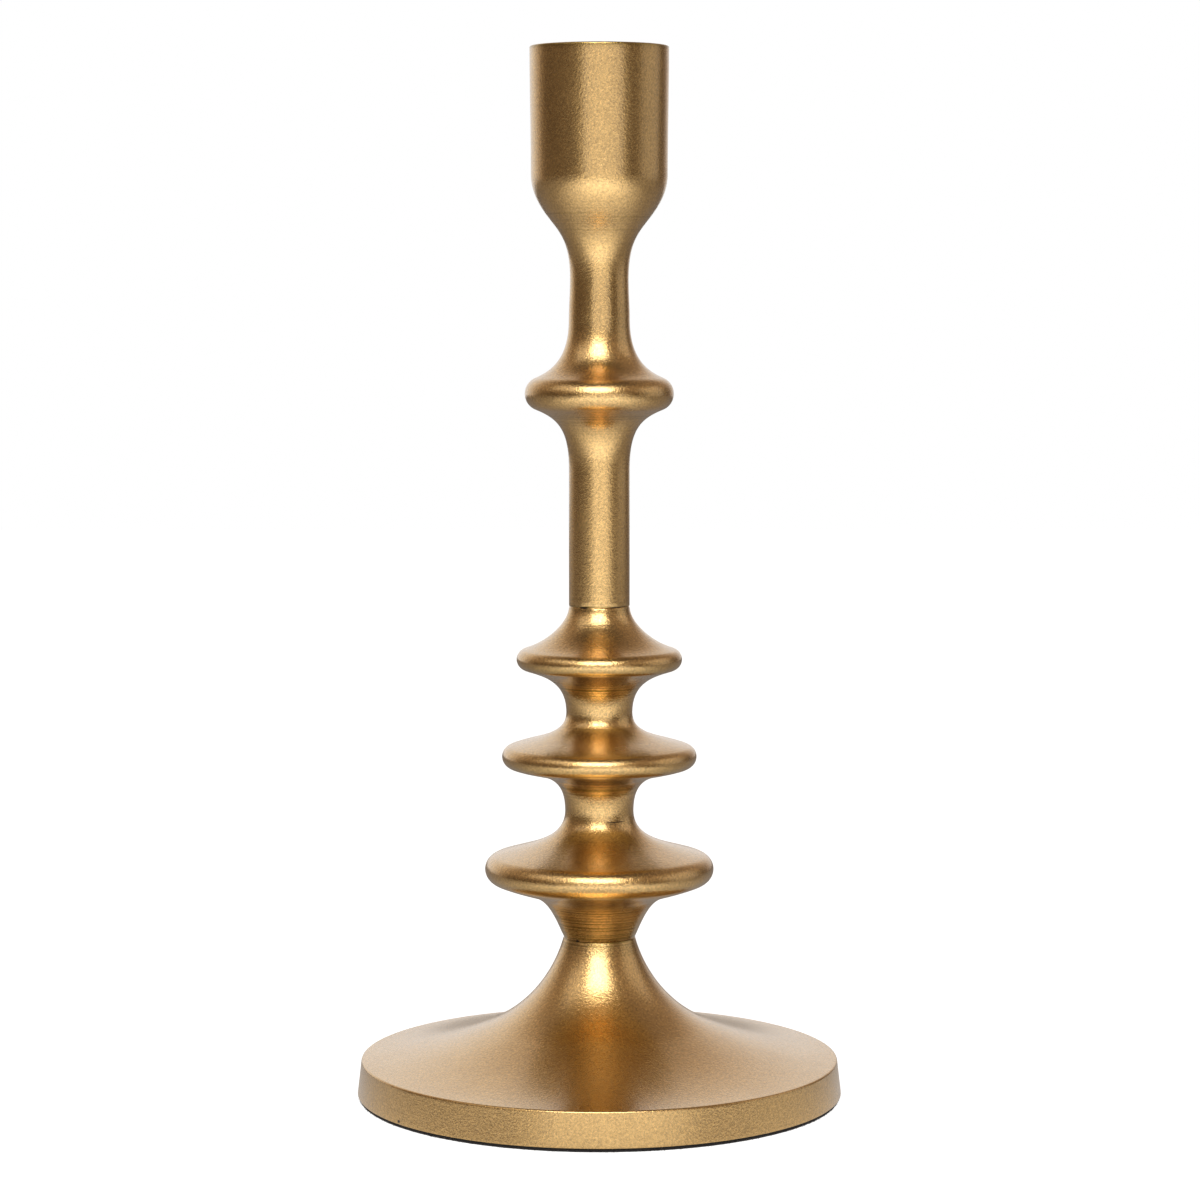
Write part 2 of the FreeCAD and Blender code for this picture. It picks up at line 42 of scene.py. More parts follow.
def linearColour(hexValue):
    channels = [int(hexValue[i:i + 2], 16) / 255 for i in (1, 3, 5)]
    return tuple(c / 12.92 if c <= 0.04045 else ((c + 0.055) / 1.055) ** 2.4
                 for c in channels) + (1.0,)


# Adds a node with its settings and links. What feeds an input is a plain value, a socket, or
# a node, which stands for its first output in use
def addNode(tree, kind, settings=None, inputs=None):
    node = tree.nodes.new(kind)
    for name, setting in (settings or {}).items():
        if name == "stops":  # the greys of a colour ramp as (place, level), lowest first
            ramp = node.color_ramp
            ramp.elements.remove(ramp.elements[1])
            for k, (place, level) in enumerate(setting):
                stop = ramp.elements.new(place) if k else ramp.elements[0]
                stop.position, stop.color = place, (level, level, level, 1)
        else:
            setattr(node, name, setting)
    for socket, source in inputs.items() if isinstance(inputs, dict) else enumerate(inputs or []):
        if isinstance(source, bpy.types.Node):
            source = next(output for output in source.outputs if output.enabled)
        if isinstance(source, bpy.types.NodeSocket):
            tree.links.new(source, node.inputs[socket])
        else:
            node.inputs[socket].default_value = source
    return node


def newMaterial(name):
    material = bpy.data.materials.new(name)
    material.use_nodes = True
    material.node_tree.nodes.clear()
    return material, material.node_tree


# The castings meet where the solids do, and the rim is as high as theirs
def heightsOf(node):
    heights = [vertex.co.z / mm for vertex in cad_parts[node].data.vertices]
    return round(min(heights), 3), round(max(heights), 3)


footBottom, lowerSeamHeight = heightsOf("foot")
upperSeamHeight, rimHeight = heightsOf("candle_cup_stem")
lowerSeam, upperSeam = (8.9, lowerSeamHeight), (7.5, upperSeamHeight)  # mm from the axis, height

# The camera stands where the photograph's ellipses put it
cameraPlace = {"at": (0.00017, -0.8658, 0.2029), "tilt": 5.19, "lens": 105.39, "sensor": 36.0,
               "clip": (0.01, 50)}
cameraData = bpy.data.cameras.new("camera")
cameraData.lens = cameraPlace["lens"]
cameraData.sensor_width = cameraPlace["sensor"]
cameraData.clip_start, cameraData.clip_end = cameraPlace["clip"]
cameraObject = bpy.data.objects.new("camera", cameraData)
cameraObject.location = cameraPlace["at"]
cameraObject.rotation_euler = (math.radians(90 - cameraPlace["tilt"]), 0, 0)
scene.collection.objects.link(cameraObject)
scene.camera = cameraObject
print("camera placed")

# Cast brass, bead blasted and sprayed with a tinted satin lacquer: soft reflections
# broken up by a sandy grain, with the turning marks still showing in the necks
brassLook = {
    "gold": "#E0B977",
    # the darker tone of the turning marks and seam joints, also used for painted shade
    "darkLacquerAndShade": "#967E30",
    "wornThrough": "#3A2814",
    "roughness": 0.25,
    "roughnessSpread": 0.05,
    "coat": 1.0,
    "coatRoughness": 0.2,
    "patchSize": 9.0,          # mm, of cloudy patches
    "grainSize": 0.55,         # mm, real grit is about 0.15 mm, drawn coarser to show
    "grainHeight": 0.075,      # mm
    "grainShade": (0.68, 1.2),  # what the darkest and the lightest grit do to the colour
    "mottleSize": 1.5,         # mm, of the hammered look that blasting leaves on a casting
    "mottleHeight": 0.02,      # mm
    "streakPitch": 0.45,       # mm between turning marks, drawn coarser than the real ones
    "streakLength": 83.3333,   # mm
    "streakHeight": 0.07,      # mm
    "streakShade": 0.5,        # how far a mark lightens or darkens the lacquer
    "streakRadius": 12.5,      # mm, the necks are thinner than this
    "streakFade": 3.0,         # mm, over which the marks end outside it
    # how plainly the turning marks show at each height in mm
    "streakAtHeight": [(30, 0.0), (38, 0.3), (40, 1.0), (49, 1.0), (53, 0.25), (116, 0.25),
                       (121, 0.5), (128, 0.25), (136, 0.0)],
    # where the lacquer tone darkens on what doesn't face up, by height in mm: dark joints at the
    # seams, a dark line along the rim and painted shade on the cone under the lowest disc
    "jointsRimAndCreaseShadeAtHeight": [(36, 0.0), (39.6, 0.35), (40.6, 0.8), (46, 0.45), (52, 0.0), (121.6, 0.0),
                       (122.8, 0.45), (123.2, 0.3), (124, 0.0), (258.9, 0.0), (259.5, 1.0)],
    # and painted shade on what faces down under the discs, by height in mm
    "shadeUnderDiscsAtHeight": [(30, 0.0), (41, 0.5), (118, 0.5), (122, 0.0)],
    # small chips, pits and a scratch in mm: middle, then half the width, depth and height
    "nicks": [((18.2, -1.6, 175.4), (0.8, 1.0, 0.7)), ((-48.1, -36.2, 1.7), (0.6, 0.6, 0.45)),
              ((-5.4, -7.1, 40.1), (0.6, 1.0, 0.4)), ((4.0, -7.6, 69.9), (3.4, 4.0, 0.14)),
              ((-3.8, -6.5, 122.9), (1.5, 2.0, 0.32)), ((4.3, -6.2, 123.0), (2.7, 4.0, 0.13))],
}


def satinBrass():
    material, tree = newMaterial("satinLacqueredBrass")
    look = brassLook
    surface = addNode(tree, "ShaderNodeTexCoord").outputs
    here = surface["Object"]
    height = addNode(tree, "ShaderNodeSeparateXYZ", inputs=[here]).outputs["Z"]
    facing = addNode(tree, "ShaderNodeSeparateXYZ", inputs=[surface["Normal"]]).outputs["Z"]
    flat = addNode(tree, "ShaderNodeMapping", inputs={"Vector": here, "Scale": (1, 1, 0)})
    radius = addNode(tree, "ShaderNodeVectorMath", {"operation": "LENGTH"}, [flat])
    climbed = addNode(tree, "ShaderNodeMath", {"operation": "DIVIDE"}, [height, rimHeight * mm])
    streaky, jointsRimAndCreaseBand, shadeUnderDiscsBand = [addNode(tree, "ShaderNodeValToRGB", {
        "stops": [(z / rimHeight, level) for z, level in look[name]]}, [climbed])
        for name in ("streakAtHeight", "jointsRimAndCreaseShadeAtHeight", "shadeUnderDiscsAtHeight")]

    patches = addNode(tree, "ShaderNodeTexNoise", inputs={
        "Vector": here, "Scale": 1 / (look["patchSize"] * mm), "Detail": 2.0})
    grain = addNode(tree, "ShaderNodeTexNoise", inputs={
        "Vector": here, "Scale": 1 / (look["grainSize"] * mm), "Detail": 2.0,
        "Roughness": 0.75})
    mottle = addNode(tree, "ShaderNodeTexNoise", inputs={
        "Vector": here, "Scale": 1 / (look["mottleSize"] * mm), "Detail": 1.0})

    # turning marks: long round the axis, short along it
    around, along = 1 / (look["streakLength"] * mm), 1 / (look["streakPitch"] * mm)
    drawnOut = addNode(tree, "ShaderNodeMapping", inputs={
        "Vector": here, "Scale": (around, around, along)})
    streaks = addNode(tree, "ShaderNodeTexNoise", inputs={
        "Vector": drawnOut, "Scale": 1.0, "Detail": 3.0, "Roughness": 0.65})
    inNecks = addNode(tree, "ShaderNodeMapRange", {"interpolation_type": "SMOOTHSTEP"}, {
        "Value": radius, "From Min": look["streakRadius"] * mm,
        "From Max": (look["streakRadius"] + look["streakFade"]) * mm,
        "To Min": 1.0, "To Max": 0.0})
    facesDown = addNode(tree, "ShaderNodeMapRange", inputs={
        "Value": facing, "From Min": -0.7, "From Max": -0.1, "To Min": 1.0, "To Max": 0.0})
    plainly = addNode(tree, "ShaderNodeMath", {"operation": "MAXIMUM"}, [facesDown, streaky])
    marked = addNode(tree, "ShaderNodeMath", {"operation": "MULTIPLY"}, [inNecks, plainly])
    swing = addNode(tree, "ShaderNodeMapRange", inputs={
        "Value": streaks, "From Min": 0.42, "From Max": 0.6, "To Min": -look["streakShade"],
        "To Max": look["streakShade"]})
    streakShade = addNode(tree, "ShaderNodeMath", {"operation": "MULTIPLY"}, [marked, swing])

    # a darker lacquer tone on what doesn't face up, in bands: dark joints at the seams, a dark
    # line along the rim and painted shade on the cone under the lowest disc; and painted shade on
    # what faces down under the discs
    notFacingUp = addNode(tree, "ShaderNodeMapRange", inputs={
        "Value": facing, "From Min": 0.5, "From Max": 0.85, "To Min": 1.0, "To Max": 0.0})
    jointsRimAndCreaseShade = addNode(tree, "ShaderNodeMath", {"operation": "MULTIPLY"}, [notFacingUp, jointsRimAndCreaseBand])
    # painted shade: the darker lacquer tone on what faces down under the discs
    under = addNode(tree, "ShaderNodeMath", {"operation": "MULTIPLY"}, [facesDown, shadeUnderDiscsBand])
    jointsAndShade = addNode(tree, "ShaderNodeMath", {"operation": "MAXIMUM"}, [jointsRimAndCreaseShade, under])
    # turning marks, joints and painted shade together pull the colour towards the darker tone
    markedAndShaded = addNode(tree, "ShaderNodeMath", {"operation": "ADD"}, [streakShade, jointsAndShade])
    colour = addNode(tree, "ShaderNodeMix", {"data_type": "RGBA"}, {
        "Factor": markedAndShaded, 6: linearColour(look["gold"]), 7: linearColour(look["darkLacquerAndShade"])})
    speckle = addNode(tree, "ShaderNodeMapRange", inputs={
        "Value": grain, "From Min": 0.3, "From Max": 0.7, "To Min": look["grainShade"][0],
        "To Max": look["grainShade"][1]})
    tinted = addNode(tree, "ShaderNodeMix", {"data_type": "RGBA", "blend_type": "MULTIPLY"}, {
        "Factor": 1.0, 6: colour, 7: speckle})

    # each nick is a small soft-edged blot, drawn out to its own size
    nicked = 0.0
    for middle, reach in look["nicks"]:
        blot = addNode(tree, "ShaderNodeMapping", inputs={
            "Vector": here, "Location": [-m / r for m, r in zip(middle, reach)],
            "Scale": [1 / (r * mm) for r in reach]})
        away = addNode(tree, "ShaderNodeVectorMath", {"operation": "LENGTH"}, [blot])
        inside = addNode(tree, "ShaderNodeMapRange", {"interpolation_type": "SMOOTHSTEP"}, {
            "Value": away, "From Min": 0.6, "From Max": 1.0, "To Min": 1.0, "To Max": 0.0})
        nicked = addNode(tree, "ShaderNodeMath", {"operation": "MAXIMUM"}, [nicked, inside])
    bare = addNode(tree, "ShaderNodeMix", {"data_type": "RGBA"}, {
        "Factor": nicked, 6: tinted, 7: linearColour(look["wornThrough"])})

    roughness = addNode(tree, "ShaderNodeMapRange", inputs={
        "Value": patches, "From Min": 0.3, "From Max": 0.7,
        "To Min": look["roughness"] - look["roughnessSpread"] / 2,
        "To Max": look["roughness"] + look["roughnessSpread"] / 2})
    mottleBump = addNode(tree, "ShaderNodeBump", inputs={
        "Height": mottle, "Strength": 1.0, "Distance": look["mottleHeight"] * mm})
    cut = addNode(tree, "ShaderNodeMath", {"operation": "MULTIPLY"}, [streaks, marked])
    streakBump = addNode(tree, "ShaderNodeBump", inputs={
        "Height": cut, "Strength": 1.0, "Distance": look["streakHeight"] * mm,
        "Normal": mottleBump})
    grainBump = addNode(tree, "ShaderNodeBump", inputs={
        "Height": grain, "Strength": 1.0, "Distance": look["grainHeight"] * mm,
        "Normal": streakBump})
    shader = addNode(tree, "ShaderNodeBsdfPrincipled", inputs={
        "Base Color": bare, "Metallic": 1.0, "Roughness": roughness,
        "Coat Weight": look["coat"], "Coat Roughness": look["coatRoughness"],
        "Normal": grainBump})
    addNode(tree, "ShaderNodeOutputMaterial", inputs={"Surface": shader})
    return material


# Zinc-plated mild steel: grey and fairly even, a little cloudy, with rolled threads on the rod
steelLook = {"zinc": "#C4C8C9", "dull": "#9EA2A0", "roughness": (0.30, 0.44), "cloudSize": 1.4,
             "cloudHeight": 0.01, "threadPitch": 1.0, "threadDepth": 0.6}


def zincSteel(name, threaded):
    material, tree = newMaterial(name)
    look = steelLook
    here = addNode(tree, "ShaderNodeTexCoord").outputs["Object"]
    clouds = addNode(tree, "ShaderNodeTexNoise", inputs={
        "Vector": here, "Scale": 1 / (look["cloudSize"] * mm), "Detail": 3.0})
    colour = addNode(tree, "ShaderNodeMix", {"data_type": "RGBA"}, {
        "Factor": clouds, 6: linearColour(look["zinc"]), 7: linearColour(look["dull"])})
    roughness = addNode(tree, "ShaderNodeMapRange", inputs={
        "Value": clouds, "From Min": 0.3, "From Max": 0.7, "To Min": look["roughness"][0],
        "To Max": look["roughness"][1]})
    height, distance = clouds, look["cloudHeight"] * mm
    if threaded:  # a right-hand screw line: one pitch up for each turn
        x, y, z = addNode(tree, "ShaderNodeSeparateXYZ", inputs=[here]).outputs
        angle = addNode(tree, "ShaderNodeMath", {"operation": "ARCTAN2"}, [y, x])
        turn = addNode(tree, "ShaderNodeMath", {"operation": "DIVIDE"}, [angle, 2 * math.pi])
        climb = addNode(tree, "ShaderNodeMath", {"operation": "DIVIDE"},
                        [z, look["threadPitch"] * mm])
        along = addNode(tree, "ShaderNodeMath", {"operation": "SUBTRACT"}, [climb, turn])
        height = addNode(tree, "ShaderNodeMath", {"operation": "PINGPONG"}, [along, 0.5])
        distance = look["threadDepth"] * mm
    bump = addNode(tree, "ShaderNodeBump", inputs={
        "Height": height, "Strength": 1.0, "Distance": distance})
    shader = addNode(tree, "ShaderNodeBsdfPrincipled", inputs={
        "Base Color": colour, "Metallic": 1.0, "Roughness": roughness, "Normal": bump})
    addNode(tree, "ShaderNodeOutputMaterial", inputs={"Surface": shader})
    return material


# Pressed wool felt, dyed black: matt, with a little dust-grey in its nap
feltLook = {"black": "#161517", "grey": "#2C2A2C", "tuftSize": 0.5, "tuftHeight": 0.12,
            "roughness": 0.95, "sheen": 0.25, "sheenRoughness": 0.5}


def woolFelt():
    material, tree = newMaterial("pressedWoolFelt")
    look = feltLook
    here = addNode(tree, "ShaderNodeTexCoord").outputs["Object"]
    tufts = addNode(tree, "ShaderNodeTexNoise", inputs={
        "Vector": here, "Scale": 1 / (look["tuftSize"] * mm), "Detail": 4.0, "Roughness": 0.7})
    colour = addNode(tree, "ShaderNodeMix", {"data_type": "RGBA"}, {
        "Factor": tufts, 6: linearColour(look["black"]), 7: linearColour(look["grey"])})
    bump = addNode(tree, "ShaderNodeBump", inputs={
        "Height": tufts, "Strength": 1.0, "Distance": look["tuftHeight"] * mm})
    shader = addNode(tree, "ShaderNodeBsdfPrincipled", inputs={
        "Base Color": colour, "Roughness": look["roughness"], "Sheen Weight": look["sheen"],
        "Sheen Roughness": look["sheenRoughness"], "Normal": bump})
    addNode(tree, "ShaderNodeOutputMaterial", inputs={"Surface": shader})
    return material


brass = satinBrass()
steel = zincSteel("zincPlatedSteel", False)
threadedSteel = zincSteel("zincPlatedThread", True)
felt = woolFelt()
print("finishes mixed")


# Outlines are drawn in mm as (distance from the axis, height). The ring and the discs have
# eased flanks, as the photograph shows them, where the solids have straight ones
def lineRun(start, end, step=0.8):
    count = max(1, math.ceil(math.dist(start, end) / step))
    return [(start[0] + (end[0] - start[0]) * k / count,
             start[1] + (end[1] - start[1]) * k / count) for k in range(count + 1)]


def arcRun(centre, start, turn, step=0.8):
    first = math.atan2(start[1] - centre[1], start[0] - centre[0])
    size = math.dist(centre, start)
    count = max(3, math.ceil(abs(turn) * size / step), math.ceil(abs(turn) / 0.12))
    return [(centre[0] + size * math.cos(first + turn * k / count),
             centre[1] + size * math.sin(first + turn * k / count)) for k in range(count + 1)]


def shortArc(centre, start, end, step=0.8):
    first = math.atan2(start[1] - centre[1], start[0] - centre[0])
    last = math.atan2(end[1] - centre[1], end[0] - centre[0])
    return arcRun(centre, start, (last - first + math.pi) % (2 * math.pi) - math.pi, step)


def flankCurve(start, startPull, endPull, end, step=0.8):
    count = max(6, math.ceil(math.dist(start, end) / step))
    return [tuple(start[i] * (1 - t) ** 3 + 3 * startPull[i] * t * (1 - t) ** 2
                  + 3 * endPull[i] * t * t * (1 - t) + end[i] * t ** 3 for i in (0, 1))
            for t in (k / count for k in range(count + 1))]


# A turned edge from the bottom up, as stations joined by eased flanks. A bead has its reach,
# height and size, then the angle and the pull of the flank below it and of the one above.
# A neck has its reach and height, the pulls below and above it, and how far it leans out
def turnedRun(stations):
    points, leave = [], None
    for kind, reach, height, *shape in stations:
        if kind == "bead":
            size, low, lowPull, high, highPull = shape
            low, high, middle = math.radians(low), math.radians(high), reach - size
            first = (middle + size * math.cos(low), height - size * math.sin(low))
            body = arcRun((middle, height), first, low + high)
            arrive = (first[0] - lowPull * math.sin(low), first[1] - lowPull * math.cos(low))
            away = (body[-1][0] - highPull * math.sin(high),
                    body[-1][1] + highPull * math.cos(high))
        else:
            lowPull, highPull, lean = shape
            body, arrive = [(reach, height)], (reach, height - lowPull)
            away = (reach + highPull * lean, height + highPull)
        if leave:
            points += flankCurve(points[-1], leave, arrive, body[0])[1:-1]
        points += body
        leave = away
    return points


def trimmed(points, length):
    for index in range(len(points) - 1):
        a, b = points[index], points[index + 1]
        span = math.dist(a, b)
        if span > length:
            share = length / span
            cut = (a[0] + (b[0] - a[0]) * share, a[1] + (b[1] - a[1]) * share)
            return [cut] + points[index + 1:]
        length -= span
    return points[-1:]


# Joins runs end to end; each corner between two runs is eased by its own length
def easedOutline(runs, eases, closed=False):
    count = len(runs)
    starts = [eases[k - 1] if k or closed else 0 for k in range(count)]
    ends = [eases[k] if k < count - 1 or closed else 0 for k in range(count)]
    cut = [trimmed(trimmed(run, starts[k])[::-1], ends[k])[::-1] for k, run in enumerate(runs)]
    outline = []
    for k, run in enumerate(cut):
        outline += run[1:] if outline and not starts[k] else run
        if ends[k]:
            a, c, b = run[-1], runs[k][-1], cut[(k + 1) % count][0]
            for t in (0.17, 0.34, 0.5, 0.66, 0.83):
                outline.append(tuple(a[i] * (1 - t) ** 2 + 2 * c[i] * t * (1 - t) + b[i] * t ** 2
                                     for i in (0, 1)))
    return outline + outline[:1] if closed else outline


# How the seams wear: how far up and down in mm, how often round the axis, and between which
# levels of the pattern they open. Edges sharper than the crease, in degrees, stay sharp
castingLook = {"seamReach": 0.45, "wearRounds": 2.6, "wearLevels": (0.46, 0.66), "crease": 35,
               "mergeWithin": 0.002}


# Turns an outline about Z, as on a lathe, then adds the small unevenness of a casting and
# seams that open here and there
def turningTree():
    look = castingLook
    tree = bpy.data.node_groups.new("turnedCasting", "GeometryNodeTree")
    tree.interface.new_socket("Outline", in_out="INPUT", socket_type="NodeSocketGeometry")
    for label, kind in (("Facets", "Int"), ("Unevenness", "Float"), ("Unevenness Size", "Float"),
                        ("Lower Seam", "Float"), ("Upper Seam", "Float"), ("Seam Reach", "Float"),
                        ("Seam Depth", "Float"), ("Seed", "Int"), ("Finish", "Material")):
        tree.interface.new_socket(label, in_out="INPUT", socket_type="NodeSocket" + kind)
    tree.interface.new_socket("Casting", in_out="OUTPUT", socket_type="NodeSocketGeometry")
    given = addNode(tree, "NodeGroupInput").outputs
    rows = addNode(tree, "GeometryNodeAttributeDomainSize", {"component": "MESH"},
                   [given["Outline"]])
    columns = addNode(tree, "ShaderNodeMath", {"operation": "ADD"}, [given["Facets"], 1.0])
    grid = addNode(tree, "GeometryNodeMeshGrid", inputs={
        "Size X": 1.0, "Size Y": 1.0, "Vertices X": columns, "Vertices Y": rows})
    index = addNode(tree, "GeometryNodeInputIndex")
    row = addNode(tree, "ShaderNodeMath", {"operation": "MODULO"}, [index, rows])
    passed = addNode(tree, "ShaderNodeMath", {"operation": "DIVIDE"}, [index, rows])
    column = addNode(tree, "ShaderNodeMath", {"operation": "FLOOR"}, [passed])
    place = addNode(tree, "GeometryNodeInputPosition")
    drawn = addNode(tree, "GeometryNodeSampleIndex", {"data_type": "FLOAT_VECTOR"},
                    {"Geometry": given["Outline"], "Value": place, "Index": row})
    reach, _, height = addNode(tree, "ShaderNodeSeparateXYZ", inputs=[drawn]).outputs
    facet = addNode(tree, "ShaderNodeMath", {"operation": "DIVIDE"},
                    [2 * math.pi, given["Facets"]])
    angle = addNode(tree, "ShaderNodeMath", {"operation": "MULTIPLY"}, [column, facet])
    x, y = [addNode(tree, "ShaderNodeMath", {"operation": "MULTIPLY"}, [
        reach, addNode(tree, "ShaderNodeMath", {"operation": wave}, [angle])])
        for wave in ("COSINE", "SINE")]
    turned = addNode(tree, "ShaderNodeCombineXYZ", inputs=[x, y, height])
    lathed = addNode(tree, "GeometryNodeSetPosition", inputs={
        "Geometry": grid, "Position": turned})
    closed = addNode(tree, "GeometryNodeMergeByDistance", inputs={
        "Geometry": lathed, "Distance": look["mergeWithin"] * mm})

    often = addNode(tree, "ShaderNodeMath", {"operation": "DIVIDE"},
                    [1.0, given["Unevenness Size"]])
    wander = addNode(tree, "ShaderNodeTexNoise", {"noise_dimensions": "4D"}, {
        "Vector": place, "W": given["Seed"], "Detail": 1.0, "Scale": often})
    centred = addNode(tree, "ShaderNodeMath", {"operation": "SUBTRACT"}, [wander, 0.5])
    swell = addNode(tree, "ShaderNodeMath", {"operation": "MULTIPLY"},
                    [centred, given["Unevenness"]])
    normal = addNode(tree, "GeometryNodeInputNormal")
    swollen = addNode(tree, "ShaderNodeVectorMath", {"operation": "SCALE"},
                      {0: normal, "Scale": swell})

    # the seam's edge is worn back by an amount that changes round the axis
    x, y, z = addNode(tree, "ShaderNodeSeparateXYZ", inputs=[place]).outputs
    level = addNode(tree, "ShaderNodeCombineXYZ", inputs=[x, y])
    outwards = addNode(tree, "ShaderNodeVectorMath", {"operation": "NORMALIZE"}, [level])
    apart = [addNode(tree, "ShaderNodeMath", {"operation": "ABSOLUTE"}, [
        addNode(tree, "ShaderNodeMath", {"operation": "SUBTRACT"}, [z, given[seam]])])
        for seam in ("Lower Seam", "Upper Seam")]
    fromSeam = addNode(tree, "ShaderNodeMath", {"operation": "MINIMUM"}, apart)
    nearSeam = addNode(tree, "ShaderNodeMapRange", {"interpolation_type": "SMOOTHSTEP"}, {
        "Value": fromSeam, "From Min": 0.0, "From Max": given["Seam Reach"],
        "To Min": 1.0, "To Max": 0.0})
    worn = addNode(tree, "ShaderNodeTexNoise", {"noise_dimensions": "4D"}, {
        "Vector": outwards, "W": given["Seed"], "Scale": look["wearRounds"], "Detail": 2.0})
    wornBack = addNode(tree, "ShaderNodeMapRange", inputs={
        "Value": worn, "From Min": look["wearLevels"][0], "From Max": look["wearLevels"][1]})
    opened = addNode(tree, "ShaderNodeMath", {"operation": "MULTIPLY"}, [nearSeam, wornBack])
    inwards = addNode(tree, "ShaderNodeMath", {"operation": "MULTIPLY"},
                      [given["Seam Depth"], -1.0])
    recess = addNode(tree, "ShaderNodeMath", {"operation": "MULTIPLY"}, [opened, inwards])
    pulled = addNode(tree, "ShaderNodeVectorMath", {"operation": "SCALE"},
                     {0: outwards, "Scale": recess})
    offset = addNode(tree, "ShaderNodeVectorMath", {"operation": "ADD"}, [swollen, pulled])
    shaped = addNode(tree, "GeometryNodeSetPosition", inputs={
        "Geometry": closed, "Offset": offset})

    smooth = addNode(tree, "GeometryNodeSetShadeSmooth", {"domain": "FACE"},
                     {"Geometry": shaped, "Shade Smooth": True})
    gentle = addNode(tree, "ShaderNodeMath", {"operation": "LESS_THAN"}, [
        addNode(tree, "GeometryNodeInputMeshEdgeAngle"), math.radians(look["crease"])])
    edged = addNode(tree, "GeometryNodeSetShadeSmooth", {"domain": "EDGE"},
                    {"Geometry": smooth, "Shade Smooth": gentle})
    whole = addNode(tree, "GeometryNodeRealizeInstances", inputs=[edged])
    finished = addNode(tree, "GeometryNodeSetMaterial", inputs={
        "Geometry": whole, "Material": given["Finish"]})
    addNode(tree, "NodeGroupOutput", inputs=[finished])
    return tree


# Runs a tree on an object's mesh, and leaves the result as its plain mesh
def settleTree(piece, tree, values):
    modifier = piece.modifiers.new(tree.name, "NODES")
    modifier.node_group = tree
    for item in tree.interface.items_tree:
        if item.in_out == "INPUT" and item.name in values:
            modifier[item.identifier] = values[item.name]
    result = bpy.data.meshes.new_from_object(
        piece.evaluated_get(bpy.context.evaluated_depsgraph_get()))
    piece.modifiers.clear()
    piece.data = result
    result.name = piece.name


turning = turningTree()
noSeam = -1000.0  # mm, a height that nothing reaches


def turnedPiece(name, outline, sizes, finish, lower=noSeam, upper=noSeam):
    mesh = bpy.data.meshes.new(name)
    mesh.from_pydata([(r * mm, 0, z * mm) for r, z in outline],
                     [(k, k + 1) for k in range(len(outline) - 1)], [])
    piece = bpy.data.objects.new(name, mesh)
    scene.collection.objects.link(piece)
    settleTree(piece, turning, {
        "Facets": sizes["facets"], "Unevenness": sizes["unevenness"] * mm,
        "Unevenness Size": sizes["unevennessSize"] * mm, "Lower Seam": lower * mm,
        "Upper Seam": upper * mm, "Seam Reach": castingLook["seamReach"] * mm,
        "Seam Depth": sizes["seamDepth"] * mm, "Seed": sizes["seed"], "Finish": finish})
    print(name, "turned:", len(piece.data.polygons), "faces")
    return piece


# Candle cup with its ring, bulb and shank, in one casting
cupSizes = {
    "rodHole": 3.05, "rodHoleDepth": 20.0, "drillPoint": 1.83,
    "edge": [("neck", *upperSeam, 0, 11, 0), ("neck", 7.5, 156.87, 11, 9.64, 0),
             ("bead", 18.37, 175.26, 4.22, 68.1, 5.87, 67.2, 4.64),
             ("neck", 7.5, 193.6, 9.38, 3, 0), ("neck", 7.2, 203.4, 3, 12, 0),
             ("bead", 16.77, 229.0, 14.0, 27.1, 7.87, 0, 10),
             ("neck", 17.05, rimHeight, 10, 0, 0)],
    "socket": 11.4, "socketFloor": 232.0, "leadIn": 0.8,
    # the corners from the drilled hole round the outside to the socket's floor
    "eases": [0, 0.1, 0.14, 0.5, 0.12, 0.12, 2.0],
    "facets": 224, "unevenness": 0.035, "unevennessSize": 7.0, "seamDepth": 0.22, "seed": 4,
}


def makeCup():
    s = cupSizes
    (shank, base), (lip, rim) = upperSeam, s["edge"][-1][1:3]
    hole, drilled = s["rodHole"], base + s["rodHoleDepth"]
    socket, floor, mouth = s["socket"], s["socketFloor"], s["socket"] + s["leadIn"]
    runs = [
        lineRun((0, drilled + s["drillPoint"]), (hole, drilled)),
        lineRun((hole, drilled), (hole, base), step=5),
        lineRun((hole, base), (shank, base)),
        turnedRun(s["edge"]),
        lineRun((lip, rim), (mouth, rim)),
        lineRun((mouth, rim), (socket, rim - s["leadIn"]), step=0.3),
        lineRun((socket, rim - s["leadIn"]), (socket, floor)),
        lineRun((socket, floor), (0, floor)),
    ]
    return turnedPiece("candleCup", easedOutline(runs, s["eases"]), s, brass, lower=base)


cup = makeCup()

# Three stacked discs that widen downwards, cast round a bore for the rod
discSizes = {
    "bore": 3.3,
    "edge": [("neck", *lowerSeam, 0, 12.5, 0.4),
             ("bead", 28.45, 57.15, 3.6, 68.0, 11.4, 73.7, 9.7),
             ("neck", 8.5, 71.8, 7.1, 9.8, 0),
             ("bead", 24.15, 85.3, 2.8, 72.0, 7.2, 70.0, 6.4),
             ("neck", 8.2, 96.3, 5.8, 7.4, 0),
             ("bead", 20.5, 109.55, 2.65, 73.0, 5.4, 73.0, 6.2),
             ("neck", *upperSeam, 4.0, 0, 0)],
    "eases": [0.22, 0.1, 0.1, 0.22],  # the corners from the upper seam to the lower one
    "facets": 224, "unevenness": 0.035, "unevennessSize": 7.0, "seamDepth": 0.25, "seed": 11,
}


def makeDiscs():
    s = discSizes
    bore, base, top = s["bore"], lowerSeam[1], upperSeam[1]
    runs = [
        turnedRun(s["edge"]),
        lineRun(upperSeam, (bore, top)),
        lineRun((bore, top), (bore, base), step=8),
        lineRun((bore, base), lowerSeam),
    ]
    return turnedPiece("discStem", easedOutline(runs, s["eases"], closed=True), s, brass,
                       lower=base, upper=top)


discs = makeDiscs()

